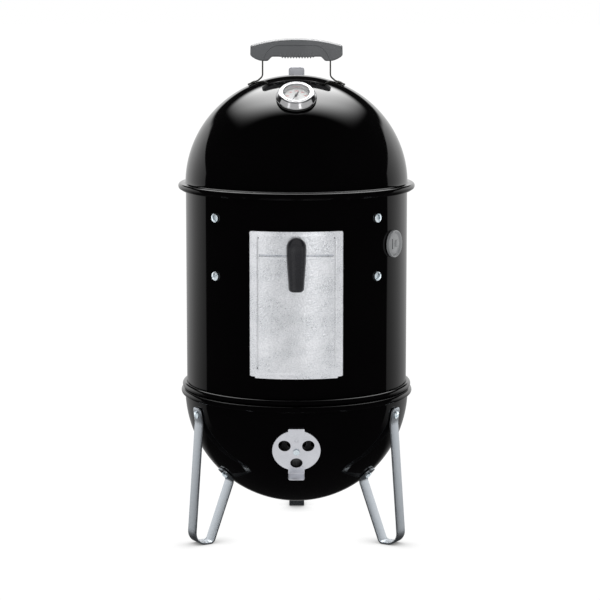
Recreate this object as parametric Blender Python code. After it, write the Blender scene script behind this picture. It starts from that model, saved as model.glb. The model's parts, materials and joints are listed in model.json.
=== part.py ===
"""Vertical water smoker: three legs, a charcoal bowl, a middle section with a fuel door, and a domed lid.

Metres, +Z up. The smoker's axis is Z and it stands on z = 0 with its fuel door facing -Y.
Azimuths are in degrees from the front (-Y) towards +X. Dome angles are ellipse parameters in degrees,
0 at the dome's equator and 90 at its top.
"""
import math

import bmesh
import bpy
from mathutils import Matrix, Vector

# ---------------------------------------------------------------- driving dimensions

SHELL_TURNS = 40
PAN_TURNS = 32
SMALL_TURNS = 10
SCREW_TURNS = 8
WALL = 0.0015
GAP = 0.0004

BODY_RADIUS = 0.1740
BODY_BOTTOM_Z = 0.2280
BODY_TOP_Z = 0.5590

# Domes are (radius, height, equator z) of half an ellipsoid's outer surface.
BOWL = (0.1770, -0.1800, 0.2326)
LID = (0.1745, 0.1690, 0.5600)

BOWL_RIM_CENTER = (0.1775, 0.2317)
BOWL_RIM_RADIUS = 0.0055

LID_SKIRT_RADIUS = 0.1858
LID_SKIRT_BOTTOM_Z = 0.5525
LID_SKIRT_TOP_Z = 0.5615

LEG_AZIMUTHS = {"leg_front_left": -60, "leg_front_right": 60, "leg_rear": 180}
LEG_WIDTH = 0.025
LEG_THICKNESS = 0.003
LEG_UPPER_BOLT_ANGLE = 8.3
LEG_LOWER_BOLT_ANGLE = 44.3
NUT_GAP = 0.0021

VENT_AZIMUTHS = {"bowl_vent_front": 0, "bowl_vent_rear_left": -120, "bowl_vent_rear_right": 120}
VENT_ANGLE = 22.3
LID_VENT_ANGLE = 57.0
VENT_RADIUS = 0.0370
VENT_THICKNESS = 0.0014
VENT_LIFT = 0.0007
VENT_HOLE_RADIUS = 0.0095
VENT_HOLE_CIRCLE = 0.0210
VENT_HOLE_ANGLES = (30, 150, 270)
VENT_SPHERE = 0.1780
VENT_BORE = 0.0036

STRAP_AZIMUTHS = (45, 135, 225, 315)
STRAP_SCREW_ZS = (0.4290, 0.5183)
STRAP_WIDTH = 0.020
STRAP_OUTER = 0.1715
UPPER_SHELF = (0.1665, 0.5300)
LOWER_SHELF = (0.1630, 0.4410)
PAN_SHELF = (0.1540, 0.4010)

GRATE_THICKNESS = 0.0035
GRATE_PITCH = 0.0200
GRATE_BAR = 0.0040
CHARCOAL_GRATE_BAR = 0.0050
UPPER_GRATE_RADIUS = 0.1690
LOWER_GRATE_RADIUS = 0.1655
CHARCOAL_GRATE_RADIUS = 0.1332
CHARCOAL_GRATE_Z = 0.1191
CHAMBER_RADIUS = 0.1310
CHAMBER_HEIGHT = 0.1120

PAN_RIM_RADIUS = 0.1620
PAN_DEPTH = 0.0858

DOOR_HALF_ANGLE = 23.6
DOOR_BOTTOM_Z = 0.2810
DOOR_TOP_Z = 0.5030
DOOR_LIP_Z = 0.2785
DOOR_LIP_HALF_WIDTH = 0.0640
DOOR_PANEL_HALF_WIDTH = 0.0580
DOOR_PANEL_ZS = (0.2936, 0.4930)
DOOR_THICKNESS = 0.0020
DOOR_RELIEF = 0.0012
DOOR_FACE_RADIUS = 0.1767
OPENING_HALF_WIDTH = 0.0605
OPENING_ZS = (0.2900, 0.4925)
OPENING_CORNER = 0.006

LATCH_Z = 0.4800
LEVER_TOP_RADIUS = 0.0150
LEVER_BOTTOM_HALF_WIDTH = 0.0115
LEVER_BOTTOM_Z = 0.4140
LEVER_BACK_Y = -0.1812
LEVER_FRONT_Y = -0.1965
LATCH_SHAFT_RADIUS = 0.0040
LATCH_BAR_LENGTH = 0.0240
LATCH_BAR_Y = (-0.1707, -0.1687)

PROBE_AZIMUTH = 58.5
PROBE_Z = 0.4750
PROBE_RADIUS = 0.0210

THERMOMETER_ANGLE = 54.8
THERMOMETER_RADIUS = 0.0310
THERMOMETER_SPHERE = 0.1720
NEEDLE_LEFT_OF_DOWN = 25.0

HANDLE_LEG_X = 0.0528
HANDLE_FOOT_ANGLE = 67.4
HANDLE_BAR_Z = 0.7630
HANDLE_DEPTH = 0.0280
HANDLE_SCREW_X = 0.0380
BRACKET_THICKNESS = 0.0022
BRACKET_WIDTH = 0.0180

# ---------------------------------------------------------------- scene, materials and bodies


def clear_scene():
    for obj in list(bpy.data.objects):
        bpy.data.objects.remove(obj, do_unlink=True)


def make_material(name, color, roughness, metallic=0.0, alpha=1.0):
    material = bpy.data.materials.new(name)
    material.use_nodes = True
    shader = material.node_tree.nodes["Principled BSDF"]
    shader.inputs["Base Color"].default_value = (*color, 1.0)
    shader.inputs["Roughness"].default_value = roughness
    shader.inputs["Metallic"].default_value = metallic
    shader.inputs["Alpha"].default_value = alpha
    return material


MATERIALS = {
    "enamel": ((0.010, 0.010, 0.012), 0.08, 0.0),
    "aluminium": ((0.62, 0.63, 0.64), 0.35, 1.0),
    "door_aluminium": ((0.72, 0.73, 0.74), 0.40, 1.0),
    "zinc_steel": ((0.60, 0.62, 0.66), 0.30, 1.0),
    "plated_wire": ((0.62, 0.62, 0.62), 0.25, 1.0),
    "bare_steel": ((0.35, 0.35, 0.36), 0.45, 1.0),
    "dark_steel": ((0.10, 0.10, 0.10), 0.35, 1.0),
    "nylon": ((0.035, 0.036, 0.038), 0.45, 0.0),
    "silicone": ((0.26, 0.27, 0.28), 0.60, 0.0),
    "gasket_rubber": ((0.015, 0.015, 0.015), 0.70, 0.0),
    "bezel_chrome": ((0.80, 0.80, 0.80), 0.10, 1.0),
    "dial_enamel": ((0.85, 0.86, 0.85), 0.40, 0.0),
    "needle_black": ((0.01, 0.01, 0.01), 0.35, 0.0),
}

joint_frames = {}


def joint_empty(name, location, parent=None):
    """An empty on a joint's axis. Every piece that moves with the joint is parented to it."""
    empty = bpy.data.objects.new(name, None)
    bpy.context.scene.collection.objects.link(empty)
    frame = Matrix.Translation(location)
    attach(empty, frame, parent)
    joint_frames[empty.name] = frame
    return empty


def attach(obj, frame, parent):
    if parent is not None:
        obj.parent = parent
        obj.matrix_parent_inverse = joint_frames[parent.name].inverted()
    obj.matrix_basis = frame


def add_piece(name, bm, material, parent, frame=Matrix(), sharp=35):
    """Turn a bmesh into a named object with its own frame, material and shading."""
    bmesh.ops.recalc_face_normals(bm, faces=bm.faces)
    mesh = bpy.data.meshes.new(name)
    bm.to_mesh(mesh)
    bm.free()
    obj = bpy.data.objects.new(name, mesh)
    bpy.context.scene.collection.objects.link(obj)
    attach(obj, frame, parent)
    mesh.materials.append(bpy.data.materials[material])
    mesh.shade_smooth()
    mesh.set_sharp_from_angle(angle=math.radians(sharp))
    return obj


def add_helper(name, bm, frame=Matrix()):
    """A cutter, or a solid to be joined on: it isn't rendered and isn't a piece of the smoker."""
    bmesh.ops.recalc_face_normals(bm, faces=bm.faces)
    mesh = bpy.data.meshes.new(name)
    bm.to_mesh(mesh)
    bm.free()
    obj = bpy.data.objects.new(name, mesh)
    bpy.context.scene.collection.objects.link(obj)
    obj.matrix_basis = frame
    obj.hide_render = True
    obj.display_type = "WIRE"
    return obj


def add_boolean(obj, helper, operation="DIFFERENCE"):
    modifier = obj.modifiers.new(helper.name, "BOOLEAN")
    modifier.operation = operation
    modifier.solver = "EXACT"
    modifier.object = helper


def drill(obj, holes):
    """Cut round holes. Each is (frame, radius, low, high) along the frame's Z."""
    bm = bmesh.new()
    for frame, radius, low, high in holes:
        add_cylinder(bm, frame, radius, low, high)
    add_boolean(obj, add_helper(f"{obj.name}_drill", bm))


# ---------------------------------------------------------------- outlines


def arc(center, radius, start, end, steps):
    """Points on a circle from one angle to another, in degrees."""
    angles = [math.radians(start + (end - start) * i / steps) for i in range(steps + 1)]
    return [(center[0] + radius * math.cos(a), center[1] + radius * math.sin(a)) for a in angles]


def dome_arc(dome, start, end, steps, inset=0.0):
    """(radius, z) points on a dome's outer surface, or inset from it by a wall's thickness."""
    radius, height, z = dome
    radius -= inset
    height -= math.copysign(inset, height)
    angles = [math.radians(start + (end - start) * i / steps) for i in range(steps + 1)]
    return [(radius * math.cos(a), z + height * math.sin(a)) for a in angles]


def strip_outline(points, thickness):
    """The closed outline of a bent strip whose middle follows the points, with mitred bends."""
    path = [Vector(point) for point in points]
    sides = []
    for i, here in enumerate(path):
        before = (here - path[i - 1]).normalized() if i > 0 else None
        after = (path[i + 1] - here).normalized() if i < len(path) - 1 else None
        along = ((before or after) + (after or before)).normalized()
        normal = Vector((-along.y, along.x))
        stretch = 1.0 / max(0.5, along.dot(after or before))
        sides.append(normal * (thickness / 2 * stretch))
    left = [p + s for p, s in zip(path, sides)]
    right = [p - s for p, s in zip(path, sides)]
    return [tuple(p) for p in left + right[::-1]]


# ---------------------------------------------------------------- solids


def lathe(profile, turns):
    """Turn (radius, z) points about Z. The outline is closed, or runs from the axis back to the axis."""
    bm = bmesh.new()
    verts = [bm.verts.new((r, 0.0, z)) for r, z in profile]
    on_axis = profile[0][0] < 1e-6 and profile[-1][0] < 1e-6
    ends = verts[1:] if on_axis else verts[1:] + verts[:1]
    edges = [bm.edges.new(pair) for pair in zip(verts, ends)]
    bmesh.ops.spin(
        bm, geom=verts + edges, cent=(0, 0, 0), axis=(0, 0, 1), angle=math.tau, steps=turns, use_merge=True
    )
    bmesh.ops.remove_doubles(bm, verts=bm.verts, dist=1e-6)
    return bm


def prism(outline, low, high, plane="XZ"):
    """Extrude an outline. In plane XZ it runs along Y from low to high, in plane XY along Z."""
    if plane == "XZ":
        points = [(u, low, v) for u, v in outline]
        shift = (0, high - low, 0)
    else:
        points = [(u, v, low) for u, v in outline]
        shift = (0, 0, high - low)
    bm = bmesh.new()
    face = bm.faces.new([bm.verts.new(p) for p in points])
    swept = bmesh.ops.extrude_face_region(bm, geom=[face])
    moved = [g for g in swept["geom"] if isinstance(g, bmesh.types.BMVert)]
    bmesh.ops.translate(bm, verts=moved, vec=shift)
    return bm


def add_cylinder(bm, frame, radius, low, high, turns=SMALL_TURNS):
    middle = frame @ Matrix.Translation((0, 0, (low + high) / 2))
    bmesh.ops.create_cone(
        bm, cap_ends=True, segments=turns, radius1=radius, radius2=radius, depth=high - low, matrix=middle
    )


def add_box(bm, low, high):
    size = Vector(high) - Vector(low)
    center = (Vector(high) + Vector(low)) / 2
    bmesh.ops.create_cube(bm, size=1.0, matrix=Matrix.Translation(center) @ Matrix.Diagonal((*size, 1.0)))


# ---------------------------------------------------------------- frames


def radial_frame(azimuth, radius=0.0, z=0.0):
    """Local +X points outward at the azimuth, local +Z is up."""
    turn = Matrix.Rotation(math.radians(azimuth - 90), 4, "Z")
    return turn @ Matrix.Translation((radius, 0, z))


def outward_frame(azimuth, radius, z):
    """On a cylinder: local +Z points outward at the azimuth, local +Y is up."""
    turn = Matrix(((0, 0, 1), (1, 0, 0), (0, 1, 0))).to_4x4()
    return radial_frame(azimuth, radius, z) @ turn


def dome_frame(dome, azimuth, angle):
    """On a dome: local +Z is the outward normal, local +Y runs up the dome's slope."""
    radius, height, z = dome
    a = math.radians(angle)
    spot = Vector((radius * math.cos(a), 0, z + height * math.sin(a)))
    normal = Vector((math.cos(a) / radius, 0, math.sin(a) / height)).normalized()
    uphill = Vector((-normal.z, 0, normal.x))
    across = uphill.cross(normal)
    local = Matrix((across, uphill, normal)).transposed().to_4x4()
    local.translation = spot
    return radial_frame(azimuth) @ local


def shifted(frame, x=0.0, y=0.0, z=0.0):
    return frame @ Matrix.Translation((x, y, z))


# ---------------------------------------------------------------- fasteners


def add_screw(name, frame, parent, head_radius, head_height, shank_radius, shank_length):
    """A domed screw or rivet. The frame's origin is the seat under its head, +Z the way the head faces."""
    profile = [
        (0.0, -shank_length),
        (shank_radius, -shank_length),
        (shank_radius, 0.0),
        (head_radius, 0.0),
        (0.75 * head_radius, head_height),
        (0.0, head_height),
    ]
    return add_piece(name, lathe(profile, SCREW_TURNS), "zinc_steel", parent, frame)


def add_nut(name, frame, parent, bore_radius, corner_radius, height):
    """A hexagon nut under a wall: it runs from the frame's origin down its -Z."""
    profile = [(bore_radius, -height), (corner_radius, -height), (corner_radius, 0.0), (bore_radius, 0.0)]
    return add_piece(name, lathe(profile, 6), "zinc_steel", parent, frame, sharp=25)


# ---------------------------------------------------------------- charcoal bowl and legs


def bowl_profile():
    outer = dome_arc(BOWL, 90, 3, 9)
    rim = arc(BOWL_RIM_CENTER, BOWL_RIM_RADIUS, -95, 111.3, 5)
    inner = dome_arc(BOWL, 0, 90, 8, inset=WALL)
    return outer + rim + inner


def leg_pads():
    """The pad centres of a leg in its radial plane, each with its frame on the bowl at azimuth 90."""
    lift = GAP + LEG_THICKNESS / 2
    pads = []
    for angle in (LEG_UPPER_BOLT_ANGLE, LEG_LOWER_BOLT_ANGLE):
        frame = shifted(dome_frame(BOWL, 90, angle), z=lift)
        uphill = frame.to_3x3().col[1]
        pads.append((Vector((frame.translation.x, frame.translation.z)), Vector((uphill.x, uphill.z))))
    return pads


def leg_outline():
    """A flat bar bent to a V: a pad under the bowl's rim, an outer arm, a foot, an inner arm, a lower pad."""
    (upper, upper_slope), (lower, lower_slope) = leg_pads()
    sole_z = LEG_THICKNESS / 2
    path = [
        upper + upper_slope * 0.0115,
        upper - upper_slope * 0.0135,
        (0.1892, 0.0205),
        (0.1870, 0.0110),
        (0.1825, 0.0045),
        (0.1745, sole_z),
        (0.1600, sole_z),
        (0.1555, 0.0050),
        lower - lower_slope * 0.0105,
        lower + lower_slope * 0.0135,
    ]
    return strip_outline(path, LEG_THICKNESS)


def add_leg(name, azimuth, number, parent):
    leg = add_piece(
        name, prism(leg_outline(), -LEG_WIDTH / 2, LEG_WIDTH / 2), "aluminium", parent, radial_frame(azimuth)
    )
    holes = []
    for step, angle in enumerate((LEG_UPPER_BOLT_ANGLE, LEG_LOWER_BOLT_ANGLE)):
        spot = dome_frame(BOWL, azimuth, angle)
        index = 2 * number + step + 1
        seat = GAP + LEG_THICKNESS + 0.0003
        add_screw(f"leg_screw_{index}", shifted(spot, z=seat), parent, 0.0060, 0.0032, 0.0029, 0.0105)
        add_nut(f"leg_nut_{index}", shifted(spot, z=-WALL - NUT_GAP), parent, 0.0037, 0.0060, 0.0038)
        holes.append((spot, 0.0034, -0.006, 0.008))
    drill(leg, holes)
    return holes


def vent_holes(spot):
    """The three air holes and the rivet hole of a vent, as drill holes."""
    holes = [(spot, VENT_BORE, -0.012, 0.012)]
    for angle in VENT_HOLE_ANGLES:
        x = VENT_HOLE_CIRCLE * math.cos(math.radians(angle))
        y = VENT_HOLE_CIRCLE * math.sin(math.radians(angle))
        holes.append((shifted(spot, x, y), VENT_HOLE_RADIUS, -0.012, 0.012))
    return holes


def add_vent(name, dome, azimuth, angle, handle_end, still_parent):
    """A domed damper disc with a short tab, and a bent handle tab at the side that handle_end says."""
    spot = dome_frame(dome, azimuth, angle)
    pivot = joint_empty(f"{name}_pivot", spot.translation, still_parent)

    def cap_height(radius, lift):
        return math.sqrt((VENT_SPHERE + lift) ** 2 - radius**2) - VENT_SPHERE

    radii = (0.0, 0.0200, VENT_RADIUS)
    under = [(r, cap_height(r, VENT_LIFT)) for r in radii]
    over = [(r, cap_height(r, VENT_LIFT + VENT_THICKNESS)) for r in radii[::-1]]
    disc = add_piece(name, lathe(under + over, 24), "aluminium", pivot, spot)

    middle = VENT_LIFT + VENT_THICKNESS / 2
    tab_reaches = (0.030, 0.036, 0.0395)
    short_tab = [(-reach * handle_end, cap_height(reach, middle)) for reach in tab_reaches]
    handle_tab = [(reach * handle_end, cap_height(reach, middle)) for reach in (0.030, 0.036, 0.041)]
    handle_tab += [
        (0.0430 * handle_end, cap_height(0.041, middle) + 0.0014),
        (0.0450 * handle_end, cap_height(0.041, middle) + 0.0150),
    ]
    across = Matrix.Rotation(math.radians(90), 4, "Z")
    for label, path in (("short_tab", short_tab), ("handle_tab", handle_tab)):
        tab = prism(strip_outline(path, 0.0010), -0.0125, 0.0125)
        add_boolean(disc, add_helper(f"{name}_{label}", tab, spot @ across), "UNION")
    drill(disc, vent_holes(spot))

    seat = VENT_LIFT + VENT_THICKNESS + 0.0004
    add_screw(f"{name}_rivet", shifted(spot, z=seat), still_parent, 0.0050, 0.0022, 0.0030, 0.0075)
    return vent_holes(spot)


def add_bowl():
    root = joint_empty("bowl_body", (0, 0, 0))
    bowl = add_piece("charcoal_bowl", lathe(bowl_profile(), SHELL_TURNS), "enamel", root)
    holes = []
    for number, (name, azimuth) in enumerate(LEG_AZIMUTHS.items()):
        holes += add_leg(name, azimuth, number, root)
    for name, azimuth in VENT_AZIMUTHS.items():
        holes += add_vent(name, BOWL, azimuth, VENT_ANGLE, -1, root)
    drill(bowl, holes)
    return root


# ---------------------------------------------------------------- grates, charcoal chamber, water pan


def add_grate(name, radius, z, pitch, bar, material, parent):
    """A round grate: a disc with straight slots between its bars."""
    rim = 0.006
    thin = [(0.0, z), (radius, z), (radius, z + GRATE_THICKNESS), (0.0, z + GRATE_THICKNESS)]
    grate = add_piece(name, lathe(thin, SHELL_TURNS), material, parent)
    half_slot = (pitch - bar) / 2
    cut = bmesh.new()
    count = int((radius - rim) / pitch)
    for i in range(-count, count + 1):
        edge = abs(i) * pitch + half_slot
        if edge < radius - 2 * rim:
            reach = math.sqrt((radius - rim) ** 2 - edge**2)
            add_box(cut, (i * pitch - half_slot, -reach, z - 0.01), (i * pitch + half_slot, reach, z + 0.01))
    add_boolean(grate, add_helper(f"{name}_slots", cut))
    return grate


def add_fire_basket(bowl_body):
    grate_joint = joint_empty("charcoal_grate_lift", (0, 0, CHARCOAL_GRATE_Z), bowl_body)
    add_grate(
        "charcoal_grate",
        CHARCOAL_GRATE_RADIUS,
        CHARCOAL_GRATE_Z,
        GRATE_PITCH,
        CHARCOAL_GRATE_BAR,
        "bare_steel",
        grate_joint,
    )
    chamber_z = CHARCOAL_GRATE_Z + GRATE_THICKNESS + 0.0003
    chamber_joint = joint_empty("charcoal_chamber_lift", (0, 0, chamber_z), grate_joint)
    ring = [
        (CHAMBER_RADIUS - 0.001, chamber_z),
        (CHAMBER_RADIUS, chamber_z),
        (CHAMBER_RADIUS, chamber_z + CHAMBER_HEIGHT),
        (CHAMBER_RADIUS - 0.001, chamber_z + CHAMBER_HEIGHT),
    ]
    add_piece("charcoal_chamber", lathe(ring, SHELL_TURNS), "bare_steel", chamber_joint)


def pan_profile():
    rim_z = PAN_SHELF[1] + 0.0003
    floor_z = rim_z - PAN_DEPTH
    skin = 0.0012
    outer = [(0.0, floor_z), (0.110, floor_z), (0.121, floor_z + 0.003), (0.128, floor_z + 0.0115)]
    rim_top = rim_z + 0.0015
    rim = [(0.1525, rim_z), (PAN_RIM_RADIUS, rim_z), (PAN_RIM_RADIUS, rim_top), (0.1515, rim_top)]
    inner = [(r - 0.6 * skin, z + 0.8 * skin) for r, z in outer[:0:-1]]
    return outer + rim + inner + [(0.0, floor_z + skin)]


def add_cooking_parts(middle_body):
    for name, radius, shelf in (
        ("upper_cooking_grate", UPPER_GRATE_RADIUS, UPPER_SHELF),
        ("lower_cooking_grate", LOWER_GRATE_RADIUS, LOWER_SHELF),
    ):
        z = shelf[1] + 0.0003
        grate_joint = joint_empty(f"{name}_lift", (0, 0, z), middle_body)
        add_grate(name, radius, z, GRATE_PITCH, GRATE_BAR, "plated_wire", grate_joint)
    pan_joint = joint_empty("water_pan_lift", (0, 0, PAN_SHELF[1]), middle_body)
    add_piece("water_pan", lathe(pan_profile(), PAN_TURNS), "enamel", pan_joint)


# ---------------------------------------------------------------- middle section


def middle_profile():
    bottom = [(BODY_RADIUS - WALL, BODY_BOTTOM_Z), (BODY_RADIUS, BODY_BOTTOM_Z)]
    lower_bead = arc((0.1765, 0.2421), 0.0045, -123.7, 123.7, 5)
    upper_bead = arc((0.1785, BODY_TOP_Z - 0.0045), 0.0045, -150, 90, 5)
    top = [(BODY_RADIUS - 0.0005, BODY_TOP_Z), (BODY_RADIUS - WALL, BODY_TOP_Z - 0.001)]
    return bottom + lower_bead + [(BODY_RADIUS, BODY_TOP_Z - 0.0075)] + upper_bead + top


def strap_outline():
    """A hanger strap in its radial plane: a flat bar on the wall with a shelf for each of three levels."""
    outer, inner = STRAP_OUTER, STRAP_OUTER - WALL
    outline = [(outer, PAN_SHELF[1] - WALL), (outer, UPPER_SHELF[1])]
    for reach, z in (UPPER_SHELF, LOWER_SHELF):
        outline += [(reach, z), (reach, z - WALL), (inner, z - WALL)]
        if z == UPPER_SHELF[1]:
            outline += [(inner, LOWER_SHELF[1])]
    outline += [(inner, PAN_SHELF[1]), (PAN_SHELF[0], PAN_SHELF[1]), (PAN_SHELF[0], PAN_SHELF[1] - WALL)]
    return outline


def add_straps(middle_body):
    holes = []
    index = 0
    for number, azimuth in enumerate(STRAP_AZIMUTHS, start=1):
        bar = prism(strap_outline(), -STRAP_WIDTH / 2, STRAP_WIDTH / 2)
        strap = add_piece(f"grate_strap_{number}", bar, "bare_steel", middle_body, radial_frame(azimuth))
        strap_holes = []
        for z in STRAP_SCREW_ZS:
            index += 1
            seat = outward_frame(azimuth, BODY_RADIUS + 0.0003, z)
            add_screw(f"strap_screw_{index}", seat, middle_body, 0.0070, 0.0036, 0.0028, 0.0068)
            strap_holes.append((seat, 0.0033, -0.009, 0.006))
        drill(strap, strap_holes)
        holes += strap_holes
    return holes


def add_probe_grommet(middle_body):
    """A silicone grommet in the wall: an outer flange, a neck through the wall and an inner flange."""
    face = BODY_RADIUS + 0.0003
    neck = 0.0165
    profile = [
        (0.0, -0.0085),
        (0.0180, -0.0085),
        (0.0190, -0.0045),
        (neck, -0.0045),
        (neck, 0.0),
        (PROBE_RADIUS, 0.0),
        (PROBE_RADIUS, 0.0030),
        (0.0190, 0.0050),
        (0.0, 0.0050),
    ]
    frame = outward_frame(PROBE_AZIMUTH, face, PROBE_Z)
    add_piece("probe_grommet", lathe(profile, 16), "silicone", middle_body, frame)
    return [(frame, neck + 0.0012, -0.012, 0.008)]


def add_middle(bowl_body):
    middle_body = joint_empty("middle_lift", (0, 0, BODY_BOTTOM_Z), bowl_body)
    middle = add_piece("middle_section", lathe(middle_profile(), SHELL_TURNS), "enamel", middle_body)
    drill(middle, add_straps(middle_body) + add_probe_grommet(middle_body))

    low = (-OPENING_HALF_WIDTH, -0.190, OPENING_ZS[0])
    high = (OPENING_HALF_WIDTH, -0.140, OPENING_ZS[1])
    opening = bmesh.new()
    add_box(opening, low, high)
    corners = [e for e in opening.edges if abs(e.verts[0].co.y - e.verts[1].co.y) > 0.01]
    bmesh.ops.bevel(opening, geom=corners, offset=OPENING_CORNER, segments=3, profile=0.5, affect="EDGES")
    add_boolean(middle, add_helper("door_opening", opening))
    add_cooking_parts(middle_body)
    return middle_body


# ---------------------------------------------------------------- fuel door and its latch


def door_sheet():
    """The door's front surface: a curved sheet with a raised middle panel and a narrow lower lip."""
    half = math.radians(DOOR_HALF_ANGLE)
    lip = math.asin(DOOR_LIP_HALF_WIDTH / DOOR_FACE_RADIUS)
    panel = math.asin(DOOR_PANEL_HALF_WIDTH / DOOR_FACE_RADIUS)
    step = math.radians(0.5)
    inside = [panel * (i / 4) for i in range(5)]
    right = inside + [panel + step, lip, half]
    columns = [-a for a in right[:0:-1]] + right
    panel_low, panel_high = DOOR_PANEL_ZS
    edge = 0.0015
    rows = [DOOR_LIP_Z, DOOR_BOTTOM_Z, panel_low - edge, panel_low, panel_high, panel_high + edge, DOOR_TOP_Z]

    bm = bmesh.new()
    grid = {}
    for i, angle in enumerate(columns):
        for j, z in enumerate(rows):
            raised = abs(angle) < panel + 1e-6 and panel_low - 1e-6 < z < panel_high + 1e-6
            radius = DOOR_FACE_RADIUS + (DOOR_RELIEF if raised else 0.0)
            grid[i, j] = bm.verts.new((radius * math.sin(angle), -radius * math.cos(angle), z))
    for i in range(len(columns) - 1):
        for j in range(len(rows) - 1):
            if j > 0 or max(abs(columns[i]), abs(columns[i + 1])) < lip + 1e-6:
                bm.faces.new((grid[i, j], grid[i + 1, j], grid[i + 1, j + 1], grid[i, j + 1]))
    loose = [v for v in bm.verts if not v.link_faces]
    bmesh.ops.delete(bm, geom=loose, context="VERTS")
    return bm


def lever_outline():
    """A long lever that hangs from its pivot: a round top and a narrower end with small corners."""
    corner = 0.0040
    half = LEVER_BOTTOM_HALF_WIDTH
    bottom = LEVER_BOTTOM_Z
    top = arc((0.0, LATCH_Z), LEVER_TOP_RADIUS, -10, 190, 10)
    left = arc((-half + corner, bottom + corner), corner, 180, 270, 3)
    right = arc((half - corner, bottom + corner), corner, 270, 360, 3)
    return top + left + right


def add_door(middle_body):
    hinge = joint_empty("door_tilt", (0, -DOOR_FACE_RADIUS, DOOR_LIP_Z), middle_body)
    door = add_piece("fuel_door", door_sheet(), "door_aluminium", hinge, sharp=20)
    sheet = door.modifiers.new("sheet_thickness", "SOLIDIFY")
    sheet.thickness = DOOR_THICKNESS
    sheet.offset = -1.0
    sheet.use_even_offset = True

    pivot = Vector((0, 0, LATCH_Z))
    latch = joint_empty("latch_turn", (0, LEVER_FRONT_Y, LATCH_Z), hinge)
    forward = Matrix.Translation(pivot) @ Matrix.Rotation(math.radians(90), 4, "X")
    drill(door, [(forward, LATCH_SHAFT_RADIUS + 0.0005, 0.165, 0.190)])

    lever = prism(lever_outline(), LEVER_FRONT_Y, LEVER_BACK_Y)
    lever_piece = add_piece("door_lever", lever, "nylon", latch)
    rounding = lever_piece.modifiers.new("rounding", "BEVEL")
    rounding.width = 0.0025
    rounding.segments = 1
    rounding.limit_method = "ANGLE"
    rounding.angle_limit = math.radians(60)

    bar_front, bar_back = LATCH_BAR_Y
    shaft = bmesh.new()
    add_cylinder(shaft, forward, LATCH_SHAFT_RADIUS, -bar_front + 0.0003, -LEVER_BACK_Y - 0.0003)
    add_piece("latch_shaft", shaft, "zinc_steel", latch)

    bar = bmesh.new()
    add_box(bar, (-0.006, bar_front, LATCH_Z - 0.005), (LATCH_BAR_LENGTH, bar_back, LATCH_Z + 0.005))
    add_piece("latch_bar", bar, "zinc_steel", latch)


# ---------------------------------------------------------------- lid, handle and thermometer


def lid_profile():
    skirt_inner = LID_SKIRT_RADIUS - WALL
    underside = BODY_TOP_Z + 0.0005
    round_radius = 0.0027
    inner = dome_arc(LID, 90, 2, 8, inset=WALL)
    skirt = [
        (LID[0] - WALL, underside),
        (skirt_inner, underside),
        (skirt_inner, LID_SKIRT_BOTTOM_Z),
        (LID_SKIRT_RADIUS, LID_SKIRT_BOTTOM_Z),
    ]
    shoulder = arc((LID_SKIRT_RADIUS - round_radius, LID_SKIRT_TOP_Z - round_radius), round_radius, 0, 90, 3)
    return inner + skirt + shoulder + [(0.1768, LID_SKIRT_TOP_Z)] + dome_arc(LID, 2, 90, 9)


def bracket_path():
    """The handle's bent strap in the plane y = 0, from its left foot on the dome to its right foot."""
    lift = GAP + BRACKET_THICKNESS / 2
    foot = shifted(dome_frame(LID, 90, HANDLE_FOOT_ANGLE), z=lift)
    spot = Vector((foot.translation.x, foot.translation.z))
    slope = Vector((foot.to_3x3().col[1].x, foot.to_3x3().col[1].z))
    right = [
        spot - slope * 0.0090,
        spot + slope * 0.0080,
        Vector((HANDLE_LEG_X + 0.0015, spot.y + 0.0065)),
        Vector((HANDLE_LEG_X, spot.y + 0.0130)),
        Vector((HANDLE_LEG_X, HANDLE_BAR_Z)),
    ]
    return [Vector((-p.x, p.y)) for p in right] + right[::-1]


def grip_outline():
    """The grip's front outline: arched top, upright ends, a lobe round each bracket leg, flat underside."""
    end_x, end_top, end_low = 0.0716, 0.7742, 0.7575
    rise = 0.7856 - end_top
    top = [(x, end_top + rise * (1 - (x / end_x) ** 2)) for x in (end_x * (1 - i / 4) for i in range(9))]
    lobe = [(0.0728, end_low), (0.0705, 0.7548), (0.0620, 0.7520), (0.0530, 0.7510), (0.0465, 0.7512)]
    under = [(0.0425, 0.7553), (0.0370, 0.7568), (0.0270, 0.7568)]
    right = under[::-1] + lobe[::-1]
    left = [(-x, z) for x, z in right]
    return top + left[::-1] + right


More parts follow.
